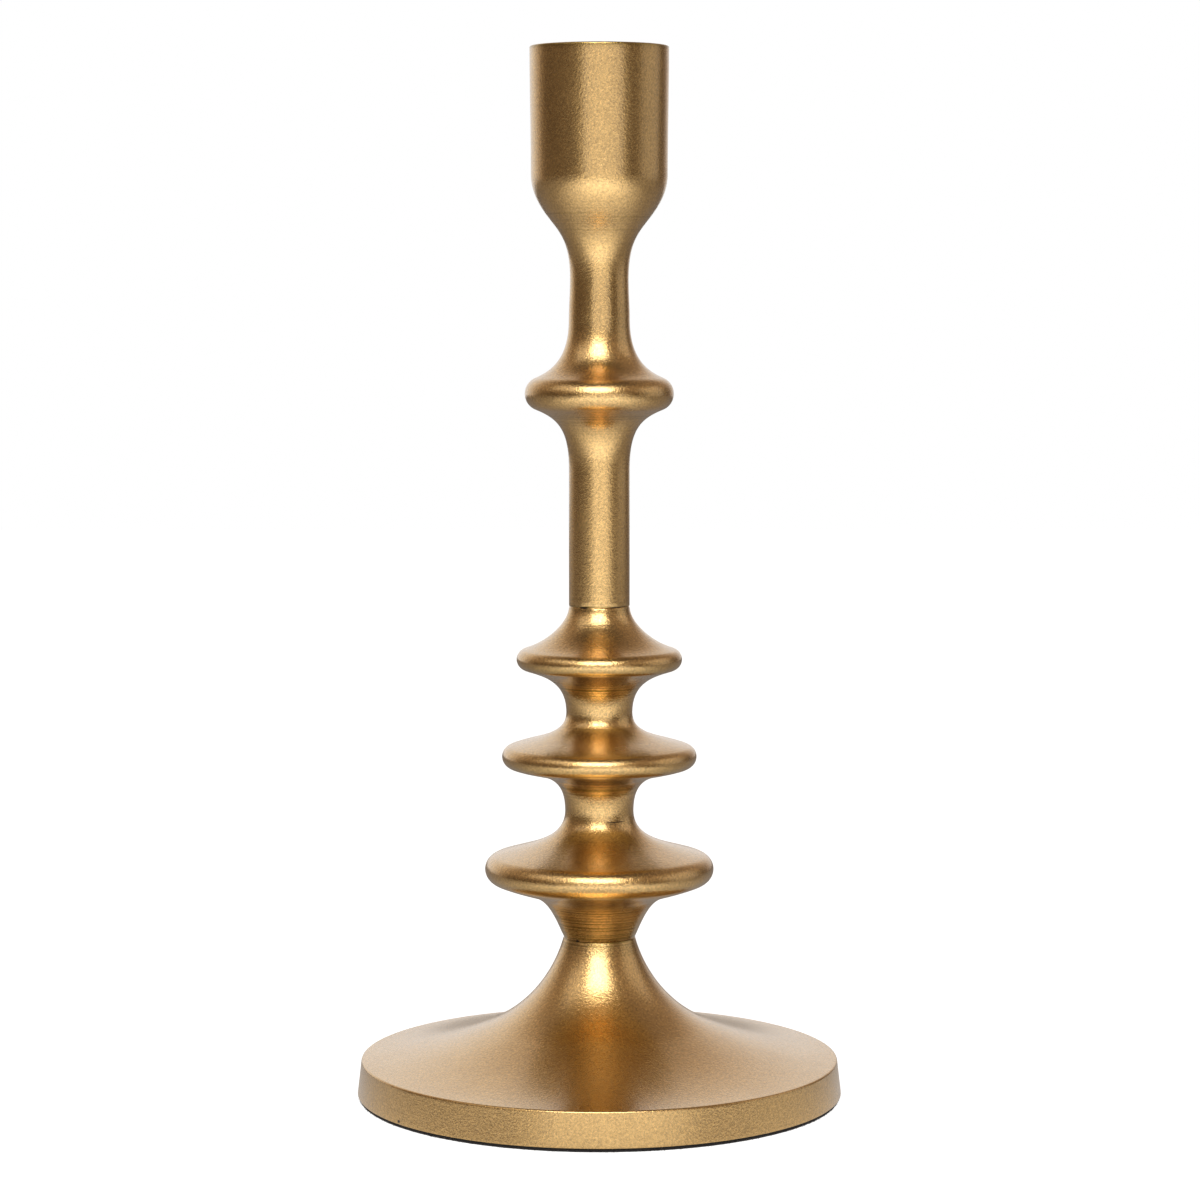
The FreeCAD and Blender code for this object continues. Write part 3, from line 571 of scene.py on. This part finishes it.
# Trumpet foot on a leaning band, hollow below, with a flat seat for the washer
footSizes = {
    "bandRadius": 60.4, "brim": (59.4, 9.6), "dishCentre": (69.609, 114.103),
    "join": (28.397, 17.528), "trumpetCentre": (41.741, 48.8),
    "hole": 3.3, "seat": 28.0, "wall": 4.0, "innerSide": 56.4,
    # the corners from the brim over the seam and through the hollow to the band's edge
    "eases": [0.45, 0.2, 0.1, 0.1, 0.8, 0.8, 0.1, 0.15],
    "facets": 288, "unevenness": 0.04, "unevennessSize": 10.0, "seamDepth": 0.2, "seed": 23,
}


def makeFoot():
    s = footSizes
    dish, trumpet, join, wall = s["dishCentre"], s["trumpetCentre"], s["join"], s["wall"]
    hole, seat, side, top = s["hole"], s["seat"], s["innerSide"], lowerSeam[1]
    dishRadius = math.dist(dish, join) + wall
    trumpetRadius = math.dist(trumpet, join) + wall
    # the inner surface follows the outer one, a wall's thickness below it
    away = [(join[i] - dish[i]) / (dishRadius - wall) for i in (0, 1)]
    innerJoin = tuple(join[i] + away[i] * wall for i in (0, 1))
    seatEdge = (trumpet[0] - math.sqrt(trumpetRadius ** 2 - (trumpet[1] - seat) ** 2), seat)
    sideTop = (side, dish[1] - math.sqrt(dishRadius ** 2 - (dish[0] - side) ** 2))
    runs = [
        lineRun((s["bandRadius"], footBottom), s["brim"]),
        shortArc(dish, s["brim"], join) + shortArc(trumpet, join, lowerSeam)[1:],
        lineRun(lowerSeam, (hole, top)),
        lineRun((hole, top), (hole, seat), step=4),
        lineRun((hole, seat), seatEdge),
        shortArc(trumpet, seatEdge, innerJoin, 2) + shortArc(dish, innerJoin, sideTop, 2)[1:],
        lineRun(sideTop, (side, footBottom), step=2),
        lineRun((side, footBottom), (s["bandRadius"], footBottom)),
    ]
    return turnedPiece("trumpetFoot", easedOutline(runs, s["eases"], closed=True), s, brass,
                       upper=top)


foot = makeFoot()

# Felt disc glued under the foot, a little smaller than the band, lifted clear of the table
feltSizes = {
    "radius": 59.9, "lift": 0.04, "eases": [0.25, 0.12],
    "facets": 360, "unevenness": 0.08, "unevennessSize": 1.5, "seamDepth": 0.0, "seed": 31,
}


def makeFelt():
    s = feltSizes
    runs = [
        lineRun((0, s["lift"]), (s["radius"], s["lift"]), step=3),
        lineRun((s["radius"], s["lift"]), (s["radius"], footBottom), step=0.25),
        lineRun((s["radius"], footBottom), (0, footBottom), step=3),
    ]
    return turnedPiece("feltDisc", easedOutline(runs, s["eases"]), s, felt)


feltDisc = makeFelt()

# Loose fibres on the felt's edge and underside, as many for each square mm as given. Real
# ones are 0.02 mm thick, drawn coarser to show. Each is a bow, as shares of its length, and
# they are stretched between two limits
napSizes = {"edgeDensity": 6.0, "underDensity": 0.3, "length": 0.9, "radius": 0.028,
            "lowest": 0.02, "highest": 0.98, "bow": (0.5, 0.3, 0.35), "stretch": (0.45, 1.25),
            "steep": 0.7, "seed": 47}


def napTree():
    s = napSizes
    tree = bpy.data.node_groups.new("feltNap", "GeometryNodeTree")
    for label, kind in (("Felt", "Geometry"), ("Edge Density", "Float"),
                        ("Under Density", "Float"), ("Length", "Float"), ("Radius", "Float"),
                        ("Lowest", "Float"), ("Highest", "Float"), ("Seed", "Int"),
                        ("Finish", "Material")):
        tree.interface.new_socket(label, in_out="INPUT", socket_type="NodeSocket" + kind)
    tree.interface.new_socket("Nap", in_out="OUTPUT", socket_type="NodeSocketGeometry")
    given = addNode(tree, "NodeGroupInput").outputs
    normal = addNode(tree, "GeometryNodeInputNormal")
    facing = addNode(tree, "ShaderNodeSeparateXYZ", inputs=[normal]).outputs["Z"]
    under = addNode(tree, "ShaderNodeMath", {"operation": "LESS_THAN"}, [facing, -s["steep"]])
    tilt = addNode(tree, "ShaderNodeMath", {"operation": "ABSOLUTE"}, [facing])
    edge = addNode(tree, "ShaderNodeMath", {"operation": "LESS_THAN"}, [tilt, s["steep"]])
    below = addNode(tree, "ShaderNodeMath", {"operation": "MULTIPLY"},
                    [under, given["Under Density"]])
    density = addNode(tree, "ShaderNodeMath", {"operation": "MULTIPLY_ADD"},
                      [edge, given["Edge Density"], below])
    roots = addNode(tree, "GeometryNodeDistributePointsOnFaces", inputs={
        "Mesh": given["Felt"], "Density": density, "Seed": given["Seed"]})

    # one fibre: a shallow bow with its ends on the felt
    middle, end = [addNode(tree, "ShaderNodeVectorMath", {"operation": "SCALE"}, {
        0: share, "Scale": given["Length"]}) for share in (s["bow"], (1, 0, 0))]
    bow = addNode(tree, "GeometryNodeCurveQuadraticBezier", inputs={
        "Resolution": 3, "Start": (0, 0, 0), "Middle": middle, "End": end})
    across = addNode(tree, "GeometryNodeCurvePrimitiveCircle", {"mode": "RADIUS"}, {
        "Resolution": 3, "Radius": given["Radius"]})
    fibre = addNode(tree, "GeometryNodeCurveToMesh", inputs={
        "Curve": bow, "Profile Curve": across})
    spin = addNode(tree, "FunctionNodeRandomValue", {"data_type": "FLOAT_VECTOR"}, {
        0: (0, 0, 0), 1: (0, 0, 2 * math.pi), "Seed": given["Seed"]})
    spun = addNode(tree, "FunctionNodeEulerToRotation", inputs=[spin])
    turned = addNode(tree, "FunctionNodeRotateRotation", {"rotation_space": "LOCAL"}, {
        "Rotation": roots.outputs["Rotation"], "Rotate By": spun})
    stretch = addNode(tree, "FunctionNodeRandomValue", {"data_type": "FLOAT"}, {
        2: s["stretch"][0], 3: s["stretch"][1], "Seed": given["Seed"]})
    laid = addNode(tree, "GeometryNodeInstanceOnPoints", inputs={
        "Points": roots, "Instance": fibre, "Rotation": turned, "Scale": stretch})
    whole = addNode(tree, "GeometryNodeRealizeInstances", inputs=[laid])

    # pressed flat between the table and the foot
    place = addNode(tree, "GeometryNodeInputPosition")
    x, y, z = addNode(tree, "ShaderNodeSeparateXYZ", inputs=[place]).outputs
    raised = addNode(tree, "ShaderNodeMath", {"operation": "MAXIMUM"}, [given["Lowest"], z])
    height = addNode(tree, "ShaderNodeMath", {"operation": "MINIMUM"},
                     [given["Highest"], raised])
    between = addNode(tree, "ShaderNodeCombineXYZ", inputs=[x, y, height])
    pressed = addNode(tree, "GeometryNodeSetPosition", inputs={
        "Geometry": whole, "Position": between})
    smooth = addNode(tree, "GeometryNodeSetShadeSmooth", {"domain": "FACE"},
                     {"Geometry": pressed, "Shade Smooth": True})
    finished = addNode(tree, "GeometryNodeSetMaterial", inputs={
        "Geometry": smooth, "Material": given["Finish"]})
    addNode(tree, "NodeGroupOutput", inputs=[finished])
    return tree


def makeNap():
    s = napSizes
    piece = bpy.data.objects.new("feltNap", feltDisc.data)
    scene.collection.objects.link(piece)
    settleTree(piece, napTree(), {
        "Edge Density": s["edgeDensity"] / mm ** 2, "Under Density": s["underDensity"] / mm ** 2,
        "Length": s["length"] * mm, "Radius": s["radius"] * mm, "Lowest": s["lowest"] * mm,
        "Highest": s["highest"] * mm, "Seed": s["seed"], "Finish": felt})
    print("feltNap laid:", len(piece.data.polygons), "faces")
    return piece


feltNap = makeNap()

for piece, node, slot in ((cup, "candle_cup_stem", "gold_casting"),
                          (discs, "ring_stem", "gold_casting"),
                          (foot, "foot", "gold_casting"), (feltDisc, "felt_pad", "black_felt"),
                          (feltNap, None, "black_felt")):
    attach(piece, "root")
    if node:
        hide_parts(node)

# The rod, nut and washers keep their solids
for name, finish in (("tie_rod", threadedSteel), ("flat_washer", steel),
                     ("spring_washer", steel), ("hex_nut", steel)):
    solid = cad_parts[name]
    if not solid.material_slots:
        solid.data.materials.append(finish)
    for place in solid.material_slots:
        place.material = finish
print("pieces finished")

# Studio: white paper all round, a softbox high in front with a wider glow round it, and fill
# from the front and both sides. A level is what the panel shows, where white paper in full
# light is 1
studio = {
    "aim": (0, 0, 0.13),
    # azimuth (0 is the camera's side, + is to the right), elevation, distance, width, height,
    # level
    "panels": {
        "softbox": (-3, 42, 2.0, 1.45, 1.20, 4.3),
        "wideFill": (-12, 43, 2.3, 3.10, 1.80, 0.30),
        "frontFill": (7, 5, 1.7, 2.30, 0.54, 0.92),
        "sideFill": (95, 17, 1.6, 1.30, 1.20, 0.34),
        "leftFill": (-66, 44, 1.6, 1.00, 0.80, 0.45),
    },
    # the room as a mirror shows it, by the sine of the elevation: dim at eye level and overhead
    "room": [(0.0, 0.12), (0.2, 0.14), (0.42, 0.31), (0.8, 0.28), (0.95, 0.08)],
    "roomTint": "#FFDFC4",
    # the paper behind the object as a mirror shows it: its direction, how far its edge spreads
    # as the cosine of the angle, and its level
    "behind": (-0.26, 0.966, 0), "behindSpread": (0.47, 0.97), "behindLevel": 0.86,
    "paper": ("#B9B8B6", "#B1B0AE"), "paperFibre": 2.5,  # mm
    "floorSize": 4.0, "floorDrop": 0.02, "floorSeen": 0.93,
    # the floor also glows in a bright patch out in front, painted light that only a mirror shows
    "patchMiddle": (0.03, -0.62, 0), "patchInner": 0.12, "patchOuter": 0.8, "patchLevel": 1.45,
}


def softPanel(name, azimuth, elevation, distance, width, height, level):
    az, el = math.radians(azimuth), math.radians(elevation)
    towards = Vector((math.sin(az) * math.cos(el), -math.cos(az) * math.cos(el), math.sin(el)))
    data = bpy.data.lights.new(name, "AREA")
    data.shape = "RECTANGLE"
    data.size, data.size_y = width, height
    data.energy = level * math.pi * width * height
    panel = bpy.data.objects.new(name, data)
    panel.location = Vector(studio["aim"]) + towards * distance
    panel.rotation_mode = "QUATERNION"
    panel.rotation_quaternion = towards.to_track_quat("Z", "Y")
    panel.visible_camera = False
    scene.collection.objects.link(panel)


for name, placing in studio["panels"].items():
    softPanel(name, *placing)


# The world is white to the camera; in a mirror the white paper stands behind the object
def paperWorld():
    world = bpy.data.worlds.new("whitePaper")
    scene.world = world
    world.use_nodes = True
    tree = world.node_tree
    tree.nodes.clear()
    rays = addNode(tree, "ShaderNodeLightPath").outputs
    towards = addNode(tree, "ShaderNodeTexCoord").outputs["Generated"]
    upwards = addNode(tree, "ShaderNodeSeparateXYZ", inputs=[towards]).outputs["Z"]
    room = addNode(tree, "ShaderNodeValToRGB", {"stops": studio["room"]}, [upwards])
    near = addNode(tree, "ShaderNodeVectorMath", {"operation": "DOT_PRODUCT"},
                   [towards, studio["behind"]])
    behind = addNode(tree, "ShaderNodeMapRange", {"interpolation_type": "SMOOTHSTEP"}, {
        "Value": near, "From Min": studio["behindSpread"][0],
        "From Max": studio["behindSpread"][1], "To Max": studio["behindLevel"]})
    inMirror = addNode(tree, "ShaderNodeMath", {"operation": "MAXIMUM"},
                       [rays["Is Glossy Ray"], rays["Is Transmission Ray"]])
    mirrored = addNode(tree, "ShaderNodeMath", {"operation": "MULTIPLY"}, [behind, inMirror])
    seen = addNode(tree, "ShaderNodeMath", {"operation": "MAXIMUM"},
                   [rays["Is Camera Ray"], mirrored])
    strength = addNode(tree, "ShaderNodeMapRange", inputs={
        "Value": seen, "To Min": room, "To Max": 1.0})
    tint = addNode(tree, "ShaderNodeMix", {"data_type": "RGBA"}, {
        "Factor": seen, 6: linearColour(studio["roomTint"]), 7: (1, 1, 1, 1)})
    paper = addNode(tree, "ShaderNodeBackground", inputs={"Color": tint, "Strength": strength})
    addNode(tree, "ShaderNodeOutputWorld", inputs={"Surface": paper})


# White paper floor: it takes the shadow, is topped up to white where it is seen, and glows in a
# painted patch of light out in front that only reflections show
def paperFloor():
    material, tree = newMaterial("whitePaperFloor")
    rays = addNode(tree, "ShaderNodeLightPath").outputs
    here = addNode(tree, "ShaderNodeTexCoord").outputs["Object"]
    fibres = addNode(tree, "ShaderNodeTexNoise", inputs={
        "Vector": here, "Scale": 1 / (studio["paperFibre"] * mm), "Detail": 3.0})
    shade = addNode(tree, "ShaderNodeMix", {"data_type": "RGBA"}, {
        "Factor": fibres, 6: linearColour(studio["paper"][0]),
        7: linearColour(studio["paper"][1])})
    paper = addNode(tree, "ShaderNodeBsdfDiffuse", inputs={"Color": shade})
    seen = addNode(tree, "ShaderNodeMath", {"operation": "MULTIPLY"},
                   [rays["Is Camera Ray"], studio["floorSeen"]])
    away = addNode(tree, "ShaderNodeVectorMath", {"operation": "DISTANCE"},
                   [here, studio["patchMiddle"]])
    patch = addNode(tree, "ShaderNodeMapRange", {"interpolation_type": "SMOOTHSTEP"}, {
        "Value": away, "From Min": studio["patchInner"], "From Max": studio["patchOuter"],
        "To Min": studio["patchLevel"], "To Max": 0.0})
    inMirror = addNode(tree, "ShaderNodeMath", {"operation": "MAXIMUM"},
                       [rays["Is Glossy Ray"], rays["Is Transmission Ray"]])
    mirrored = addNode(tree, "ShaderNodeMath", {"operation": "MULTIPLY"}, [patch, inMirror])
    brightest = addNode(tree, "ShaderNodeMath", {"operation": "MAXIMUM"}, [seen, mirrored])
    glow = addNode(tree, "ShaderNodeEmission", inputs={"Strength": brightest})
    both = addNode(tree, "ShaderNodeAddShader", inputs=[paper, glow])
    addNode(tree, "ShaderNodeOutputMaterial", inputs={"Surface": both})
    half = studio["floorSize"] / 2
    mesh = bpy.data.meshes.new("floor")
    mesh.from_pydata([(-half, -half, 0), (half, -half, 0), (half, half, 0), (-half, half, 0)],
                     [], [(0, 1, 2, 3)])
    mesh.materials.append(material)
    floor = bpy.data.objects.new("floor", mesh)
    floor.location = (0, 0, -studio["floorDrop"] * mm)
    scene.collection.objects.link(floor)


paperWorld()
paperFloor()
scene.view_settings.view_transform = "Standard"
print("studio lit")
